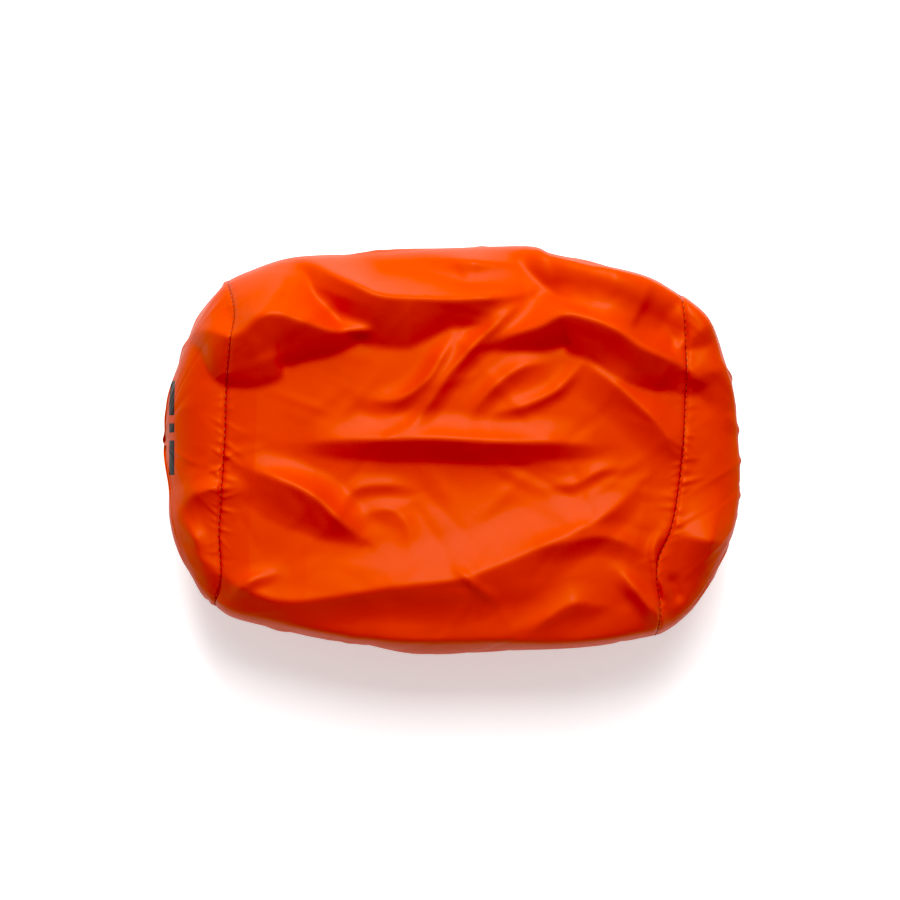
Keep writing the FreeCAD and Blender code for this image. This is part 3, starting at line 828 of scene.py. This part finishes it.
def hem_ring():
    """The gathered channel: a ring of rounded section whose gathers deepen towards its middle."""
    section = smooth_curve(HEM_SECTION, 45)[:-1]
    turn = np.linspace(0, 2 * math.pi, 361)[:-1][None]
    x, r = section[:, :1], section[:, 1:]
    rng = np.random.default_rng(SEED + 5)
    deep = gathers(turn, rng)
    # the eyelet's patch, at the lowest place, is flat
    low = np.exp(-((np.mod(turn, 2 * math.pi) - 1.5 * math.pi) / 0.36) ** 2)
    amount = (1 - low) * (0.35 + 0.65 * (16 - r) / 9.4)
    mid_x, mid_r = 121.0, 11.2
    out_x, out_r = x - mid_x, r - mid_r
    size = np.hypot(out_x, out_r)
    push = 1.25 * deep * amount
    x = x - push * out_x / size
    r = r - push * (out_r > 0) * out_r / size
    y = MOUTH_MID[0] + r * np.cos(turn)
    z = MOUTH_MID[1] + r * np.sin(turn)
    return np.stack([np.broadcast_to(x, y.shape), y, z], 2)


# The drawcord: a ring inside the hem, both ends out through the eyelet and the lock to the knot
CORD_R = 1.3
CORD_RING = (121.0, -5.0, 40.0, 10.5)     # x, y, z of its middle, radius
CORD_LEAVES = 0.498       # angle from the lowest point where it bends out of its ring
CORD_BEND = 4.0
KNOT_X = 142.9
EXIT_Z = 28.86            # height of the eyelet, the lock and the knot


def cord_path():
    """Points 1 mm apart from the knot round the ring and back to the knot."""
    x, y, z, r = CORD_RING
    turns = np.linspace(-math.pi / 2 + CORD_LEAVES, 1.5 * math.pi - CORD_LEAVES, 64)
    ring = [(x, y + r * math.cos(t), z + r * math.sin(t)) for t in turns]
    start = np.array(ring[0])
    down = np.array([0, -math.cos(CORD_LEAVES), -math.sin(CORD_LEAVES)])
    bend = [start + CORD_BEND * (math.sin(a) * down + (1 - math.cos(a)) * np.array([1, 0, 0]))
            for a in np.linspace(0, math.pi / 2, 9)]
    exit_z = bend[-1][2]
    run = [(k, bend[-1][1], exit_z) for k in np.linspace(x + CORD_BEND, KNOT_X - 4.0, 14)[1:]]
    close = [(KNOT_X - 2.4, y + 1.1, exit_z), (KNOT_X - 0.8, y + 0.75, exit_z)]
    side = np.array(bend[1:] + run + close)
    other = side * [1, -1, 1] + [0, 2 * y, 0]
    return np.concatenate([side[::-1], ring, other])


def knot_path():
    """An overhand knot round both ends: a trefoil wrapped about the cords' line."""
    t = np.linspace(0, 2 * math.pi, 73)[:-1]
    a = (np.sin(t) + 2 * np.sin(2 * t)) * 0.92
    b = (np.cos(t) - 2 * np.cos(2 * t)) * 0.92
    c = -np.sin(3 * t) * 1.15
    return np.stack([KNOT_X + c, MOUTH_MID[0] + a, EXIT_Z + b], 1)


def braid(name, colour_hex):
    """Braided polyester cord, dull: two crossing diagonal ribs 1.1 mm apart."""
    material, tree, base, _ = new_material(name, **{"Roughness": 0.7, "IOR": 1.5, "Sheen Weight": 0.35})
    place = node(tree, "ShaderNodeTexCoord")
    waves = []
    for turned in ((0.0, 0.0, 0.8), (0.0, 0.8, -0.8)):
        spin = node(tree, "ShaderNodeMapping", {"Rotation": turned}, {"Vector": (place, "Object")})
        waves.append(node(tree, "ShaderNodeTexWave", {"Scale": 290.0, "Distortion": 0.3},
                          {"Vector": (spin, 0)}, bands_direction="DIAGONAL"))
    over = node(tree, "ShaderNodeMath", links={0: (waves[0], "Fac"), 1: (waves[1], "Fac")},
                operation="MAXIMUM")
    two_toned(tree, base, (over, 0), (linear(colour_hex), shade(colour_hex, 2.2)), 0.6, 0.0003)
    return material


def coated_metal(name, colour_hex):
    """Brass eyelet, blackened and rubbed bright at random along its rim."""
    material, tree, base, _ = new_material(name, **{"Metallic": 1.0})
    place = node(tree, "ShaderNodeTexCoord")
    rub = node(tree, "ShaderNodeTexNoise", {"Scale": 900.0, "Detail": 3.0}, {"Vector": (place, "Object")})
    tint = node(tree, "ShaderNodeMix", links={"Factor": (rub, "Fac")}, data_type="RGBA")
    tint.inputs[6].default_value = linear(colour_hex)
    tint.inputs[7].default_value = linear("#8a8782")
    rough = node(tree, "ShaderNodeMapRange", {"To Min": 0.3, "To Max": 0.55}, {"Value": (rub, "Fac")})
    tree.links.new(tint.outputs[2], base.inputs["Base Color"])
    tree.links.new(rough.outputs["Result"], base.inputs["Roughness"])
    return material


def base_disc_faces(rows, columns):
    """Quads of a bulge and a fan of triangles that closes its pole, faces outwards."""
    quads = grid_faces(rows, columns).tolist()
    pole = rows * columns
    last = (rows - 1) * columns
    fan = [[last + j, pole, last + (j + 1) % columns] for j in range(columns)]
    return quads + fan


class SackSettings(bpy.types.PropertyGroup):
    fabric: bpy.props.FloatVectorProperty(
        name="Fabric", description="Colour of the nylon", subtype="COLOR", size=3, min=0, max=1,
        default=(0.50, 0.047, 0.001))
    thread: bpy.props.FloatVectorProperty(
        name="Thread", description="Colour of the seam threads", subtype="COLOR", size=3, min=0, max=1,
        default=linear("#8c2408")[:3])
    trim: bpy.props.FloatVectorProperty(
        name="Trim", description="Colour of the tape, cord and lock", subtype="COLOR", size=3,
        min=0, max=1, default=linear("#48484b")[:3])
    floor: bpy.props.FloatVectorProperty(
        name="Floor", description="Colour of the floor", subtype="COLOR", size=3, min=0, max=1,
        default=linear("#f4f4f4")[:3])
    camera_height: bpy.props.FloatProperty(
        name="Camera height", description="Height of the camera above the floor", default=1.5,
        min=0.5, unit="LENGTH")


def settings():
    """The scene's sizes and colours."""
    return bpy.context.scene.stuff_sack


class BuildBodyPanel(bpy.types.Operator):
    """The folded tube between the two round seams"""

    bl_idname = "stuff_sack.body_panel"
    bl_label = "Body panel"

    def execute(self, context):
        grid = turned_in(turned_in(Panels.get()["body"], True), False)
        rows, columns = grid.shape[:2]
        piece = add_mesh("body_fabric", grid.reshape(-1, 3), grid_faces(rows, columns, flip=True))
        nylon = coated_nylon("Coated nylon taffeta, dyed", to_hex(settings().fabric))
        finish_piece(piece, nylon, ["body_panel"])
        return {"FINISHED"}


class BuildBaseEnd(bpy.types.Operator):
    """The closed base panel with its plain printed mark"""

    bl_idname = "stuff_sack.base_end"
    bl_label = "Base end"

    def execute(self, context):
        grid = Panels.get()["base"][:-1]
        pole = Panels.get()["base"][-1].mean(0)
        grid = turned_in(grid, True)
        rows, columns = grid.shape[:2]
        verts = np.vstack([grid.reshape(-1, 3), pole])
        faces = base_disc_faces(rows, columns)
        piece = add_mesh("base_fabric", verts, faces)
        nylon = coated_nylon("Coated nylon taffeta, dyed and printed", to_hex(settings().fabric), True)
        finish_piece(piece, nylon, ["base_panel"])
        return {"FINISHED"}


class BuildMouthEnd(bpy.types.Operator):
    """The mouth panel, over its lip and gathered into the hem"""

    bl_idname = "stuff_sack.mouth_end"
    bl_label = "Mouth end"

    def execute(self, context):
        grid = turned_in(Panels.get()["mouth"], True)
        rows, columns = grid.shape[:2]
        piece = add_mesh("mouth_fabric", grid.reshape(-1, 3), grid_faces(rows, columns, flip=True))
        nylon = coated_nylon("Coated nylon taffeta, gathered", to_hex(settings().fabric))
        finish_piece(piece, nylon, ["mouth_panel"])
        return {"FINISHED"}


class BuildSeams(bpy.types.Operator):
    """Stitches and inside tapes of the two round seams and of the seam along the underside"""

    bl_idname = "stuff_sack.seams"
    bl_label = "Seams"

    def execute(self, context):
        body = Panels.get()["body"]
        thread = thread_material("Twisted polyester thread, dyed", to_hex(settings().thread))
        tape = woven_tape("Plain woven polyester tape", to_hex(settings().trim))
        normals = grid_normals(body)
        for name, row in (("base", 0), ("mouth", -1)):
            verts, faces = stitches(body[row], normals[row], 2.2, STITCH_PITCH, 0.27)
            verts[:, 2] = np.maximum(verts[:, 2], 0.1)
            piece = add_mesh(f"{name}_seam_stitches", verts, faces)
            finish_piece(piece, thread, [f"{name}_seam_thread"])
            grid = tape_round(body[row])
            piece = add_mesh(f"{name}_seam_tape", grid.reshape(-1, 3), grid_faces(*grid.shape[:2]))
            finish_piece(piece, tape, [f"{name}_seam_binding"])
        x = np.arange(*BODY_SEAM_X, 1.0)
        under = np.stack([x, np.full(x.shape, BODY_SEAM_Y), underside(x) + 0.1], 1)
        verts, faces = stitches(under, np.tile([0, 0, -1.0], (len(x), 1)), 2.3, STITCH_PITCH, 0.3, False)
        verts[:, 2] = np.clip(verts[:, 2], 0.02, None)
        finish_piece(add_mesh("body_seam_stitches", verts, faces), thread, ["body_seam_thread"])
        across = ((-0.9, 5.0), (-0.9, 8.6), (0.0, 9.2), (0.9, 8.6), (0.9, 5.0))
        x = np.arange(*BODY_SEAM_X, 2.0)
        grid = np.array([np.stack([x, np.full(x.shape, BODY_SEAM_Y + y), underside(x) + z], 1)
                         for y, z in across])
        piece = add_mesh("body_seam_tape", grid.reshape(-1, 3), grid_faces(*grid.shape[:2], closed=False))
        finish_piece(piece, tape, ["body_seam_binding"])
        return {"FINISHED"}


class BuildLabel(bpy.types.Operator):
    """The blank care label inside the sack"""

    bl_idname = "stuff_sack.label"
    bl_label = "Label"

    def execute(self, context):
        u, v = np.meshgrid(np.linspace(0, 1, 33), np.linspace(0, 1, 27), indexing="ij")
        x = 40.0 + 25.0 * u
        y = -18.6 + 1.1 * v ** 1.5 * np.sin(5.0 * u + 0.6) + 0.8 * v ** 2
        grid = np.stack([x, y, 1.2 + 19.6 * v], 2)
        piece = add_mesh("care_label_cloth", grid.reshape(-1, 3), grid_faces(33, 27, closed=False))
        cloth = woven_tape("Printed satin ribbon, blank", "#dcdad4")
        finish_piece(piece, cloth, ["care_label"])
        return {"FINISHED"}


class BuildHem(bpy.types.Operator):
    """The gathered hem with its stitch line and the eyelet's patch"""

    bl_idname = "stuff_sack.hem"
    bl_label = "Hem"

    def execute(self, context):
        ring = hem_ring()
        rows, columns = ring.shape[:2]
        faces = grid_faces(rows + 1, columns) % (rows * columns)
        piece = add_mesh("hem_fabric", ring.reshape(-1, 3), faces)
        nylon = coated_nylon("Coated nylon taffeta, hemmed", to_hex(settings().fabric))
        finish_piece(piece, nylon, ["hem_channel"])
        turn = np.linspace(0, 2 * math.pi, 181)[:-1]
        out = np.stack([0 * turn, np.cos(turn), np.sin(turn)], 1)
        line = np.array([118.6, *MOUTH_MID]) + out * 15.9
        verts, faces = stitches(line, out, 1.9, 2.8, 0.25)
        thread = thread_material("Twisted polyester thread, hem", to_hex(settings().thread))
        finish_piece(add_mesh("hem_stitches", verts, faces), thread, ["hem_thread"])
        turn = np.linspace(0, 2 * math.pi, 73)[:-1][None]
        r = np.array([3.3, 3.3, 4.6, 4.85, 4.85])[:, None]
        x = np.array([124.75, 125.3, 125.3, 125.15, 124.75])[:, None]
        disc = np.stack(np.broadcast_arrays(x, MOUTH_MID[0] + r * np.cos(turn), EXIT_Z + r * np.sin(turn)), 2)
        piece = add_mesh("eyelet_patch_cloth", disc.reshape(-1, 3), grid_faces(5, 72))
        tape = woven_tape("Reinforcing patch, woven polyester", to_hex(settings().trim))
        finish_piece(piece, tape, ["eyelet_patch"])
        return {"FINISHED"}


class BuildDrawcord(bpy.types.Operator):
    """The braided drawcord and its overhand knot"""

    bl_idname = "stuff_sack.drawcord"
    bl_label = "Drawcord"

    def execute(self, context):
        path = cord_path()
        verts, faces = tube(path, CORD_R, 16)
        cord = add_mesh("drawcord_braid", verts, faces)
        weave = braid("Braided polyester cord", to_hex(settings().trim))
        verts, faces = tube(knot_path(), 1.05, 12, closed=True)
        knot = add_mesh("drawcord_knot", verts, faces)
        tails = []
        for side in (-1, 1):
            tail = smooth_curve(((KNOT_X, -5 + side * 0.9, EXIT_Z), (KNOT_X + 2.5, -5 + side * 1.3, 28.6),
                                 (KNOT_X + 5.0, -5 + side * 2.0, 27.6)), 12)
            verts, faces = tube(tail, 1.25, 12)
            tails.append(add_mesh(f"drawcord_tail_{'ab'[side > 0]}", verts, faces))
        for piece in (cord, knot, *tails):
            finish_piece(piece, weave, ["drawcord"])
        return {"FINISHED"}


SPRING_WIRE = 0.3         # radius
SPRING_TURNS = 6.5
SPRING_CLOSED = 0.1       # share of its length of wire that lies flat at each end


class BuildSpring(bpy.types.Operator):
    """The lock's coil spring, closed at both ends, built at the length of its part in the frame; the real one
    shortens as the plunger goes in
    """

    bl_idname = "stuff_sack.spring"
    bl_label = "Spring"

    def execute(self, context):
        low, high = (np.array(corner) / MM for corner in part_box("lock_spring"))
        middle, length = (low + high) / 2, high[1] - low[1] - 2 * SPRING_WIRE
        radius = (high[0] - low[0]) / 2 - SPRING_WIRE
        t = np.linspace(0, 1, 241)
        turn = 2 * math.pi * SPRING_TURNS * t
        rise = np.clip((t - SPRING_CLOSED) / (1 - 2 * SPRING_CLOSED), 0, 1)
        path = np.stack([middle[0] + radius * np.cos(turn), low[1] + SPRING_WIRE + length * rise,
                         middle[2] + radius * np.sin(turn)], 1)
        verts, faces = tube(path, SPRING_WIRE, 10)
        piece = add_mesh("lock_spring_coil", verts, faces)
        steel = drawn_metal("Drawn spring steel", "#b9b9b7", 0.3)
        finish_piece(piece, steel, ["lock_spring"])
        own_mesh(piece)
        return {"FINISHED"}


class FinishHardware(bpy.types.Operator):
    """Gives the eyelet and the two halves of the lock their materials"""

    bl_idname = "stuff_sack.hardware"
    bl_label = "Hardware"

    def execute(self, context):
        trim = to_hex(settings().trim)
        looks = {
            "cord_eyelet": coated_metal("Pressed brass, blackened", "#3a3836"),
            "lock_barrel": moulded_acetal("Moulded acetal, barrel", trim, 0.42),
            "lock_plunger": moulded_acetal("Moulded acetal, plunger", trim, 0.32),
        }
        for name, material in looks.items():
            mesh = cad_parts[name]
            for place in mesh.material_slots:
                place.material = material
            if not mesh.material_slots:
                raise RuntimeError(f"{name} has no material slot")
        return {"FINISHED"}


# Square lamps aimed at the sack: name, place, side, power in watts
LIGHTS = (("key", (0.06, 0.75, 1.40), 0.8, 26.0), ("low", (-0.15, 1.60, 1.15), 0.8, 24.0),
          ("near fill", (0.10, -1.50, 0.40), 1.0, 3.5))
SKY = 0.38                # strength of the even white light from all round
FLOOR_GLOW = 0.34         # keeps the paper white beside the sack
VIEW_WIDTH = 0.4743       # metres across the view at the waist


class BuildStage(bpy.types.Operator):
    """Pale floor, soft light from the far side and the camera overhead"""

    bl_idname = "stuff_sack.stage"
    bl_label = "Stage"

    def execute(self, context):
        scene = context.scene
        corners = 4000 * np.array([[-1, -1, 0], [1, -1, 0], [1, 1, 0], [-1, 1, 0]])
        floor = add_mesh("floor", corners, [[0, 1, 2, 3]], False)
        paper, _, _, _ = new_material("Matt white paper", **{
            "Base Color": list(settings().floor) + [1.0], "Roughness": 0.9, "Specular IOR Level": 0.1,
            "Emission Color": (1, 1, 1, 1), "Emission Strength": FLOOR_GLOW})
        floor.data.materials.append(paper)
        for name, place, size, watts in LIGHTS:
            light = bpy.data.lights.new(name, "AREA")
            light.size, light.energy = size, watts
            lamp = bpy.data.objects.new(name, light)
            lamp.location = place
            aim = -lamp.location.normalized()
            lamp.rotation_euler = aim.to_track_quat("-Z", "Y").to_euler()
            scene.collection.objects.link(lamp)
        world = bpy.data.worlds.new("Soft studio")
        world.use_nodes = True
        world.node_tree.nodes["Background"].inputs["Color"].default_value = (1, 1, 1, 1)
        world.node_tree.nodes["Background"].inputs["Strength"].default_value = SKY
        scene.world = world
        cam_data = bpy.data.cameras.new("camera")
        height = settings().camera_height
        cam_data.lens = cam_data.sensor_width * (height - WAIST_Z * MM) / VIEW_WIDTH
        camera = bpy.data.objects.new("camera", cam_data)
        camera.location = (0, 0, height)
        scene.collection.objects.link(camera)
        scene.camera = camera
        scene.view_settings.view_transform = "Standard"
        scene.view_settings.look = "None"
        scene.view_settings.use_curve_mapping = True
        scene.view_settings.curve_mapping.black_level = (0.05, 0.05, 0.05)
        scene.view_settings.curve_mapping.update()
        return {"FINISHED"}


class StuffSackPanel(bpy.types.Panel):
    bl_idname = "VIEW3D_PT_stuff_sack"
    bl_label = "Stuff sack"
    bl_space_type = "VIEW_3D"
    bl_region_type = "UI"
    bl_category = "Stuff sack"

    def draw(self, context):
        for name in SackSettings.__annotations__:
            self.layout.prop(context.scene.stuff_sack, name)
        for operator in OPERATORS:
            self.layout.operator(operator.bl_idname)


OPERATORS = (BuildBodyPanel, BuildBaseEnd, BuildMouthEnd, BuildSeams, BuildLabel, BuildHem,
             BuildDrawcord, BuildSpring, FinishHardware, BuildStage)
CLASSES = (SackSettings, *OPERATORS, StuffSackPanel)


def register():
    for cls in CLASSES:
        bpy.utils.register_class(cls)
    bpy.types.Scene.stuff_sack = bpy.props.PointerProperty(type=SackSettings)


def unregister():
    del bpy.types.Scene.stuff_sack
    for cls in reversed(CLASSES):
        bpy.utils.unregister_class(cls)


def main():
    register()
    for operator in OPERATORS:
        group, name = operator.bl_idname.split(".")
        getattr(getattr(bpy.ops, group), name)()


if __name__ == "__main__":
    main()
